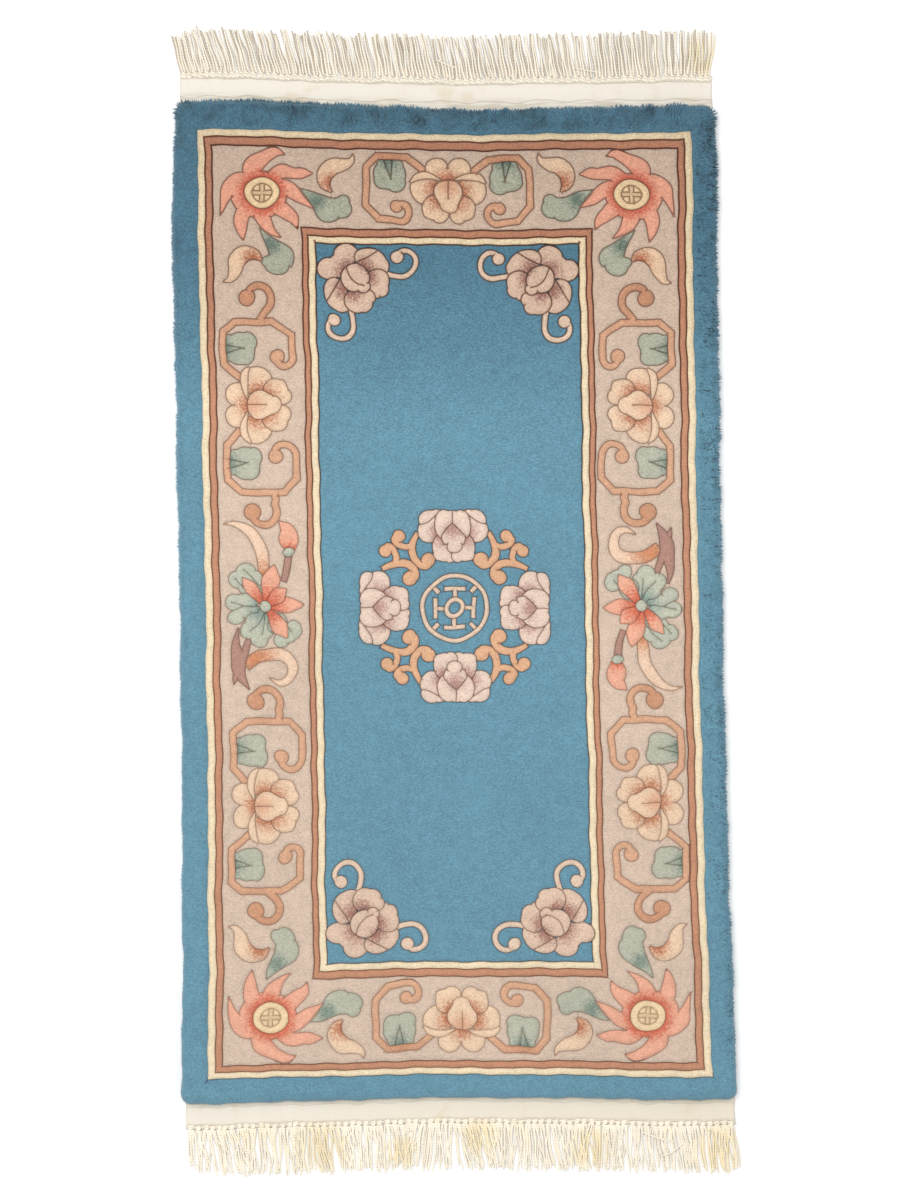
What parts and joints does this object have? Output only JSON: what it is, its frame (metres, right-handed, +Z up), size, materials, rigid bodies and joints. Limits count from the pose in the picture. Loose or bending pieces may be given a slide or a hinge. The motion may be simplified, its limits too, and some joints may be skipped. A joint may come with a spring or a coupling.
{
  "type": "fringed carved pile rug",
  "caption": "Thick cut-pile wool rug with a carved floral border and medallion, bare cotton webs and knotted cotton fringes at both ends, lying flat.",
  "frame": {"origin": "on the floor under the middle of the rug, fringes included", "axes": "+X across the rug, +Y along it towards the upper fringe, +Z up out of the pile"},
  "size_m": [0.7992, 1.5922, 0.0194],
  "materials": {
    "wool_pile": "cut wool pile",
    "cotton_cloth": "plain woven cotton",
    "cotton_yarn": "twisted cotton yarn"
  },
  "bodies": {
    "root": {"foundation": "cotton_cloth", "pile": "wool_pile", "fringe_upper": "cotton_yarn", "fringe_lower": "cotton_yarn"}
  },
  "joints": []
}
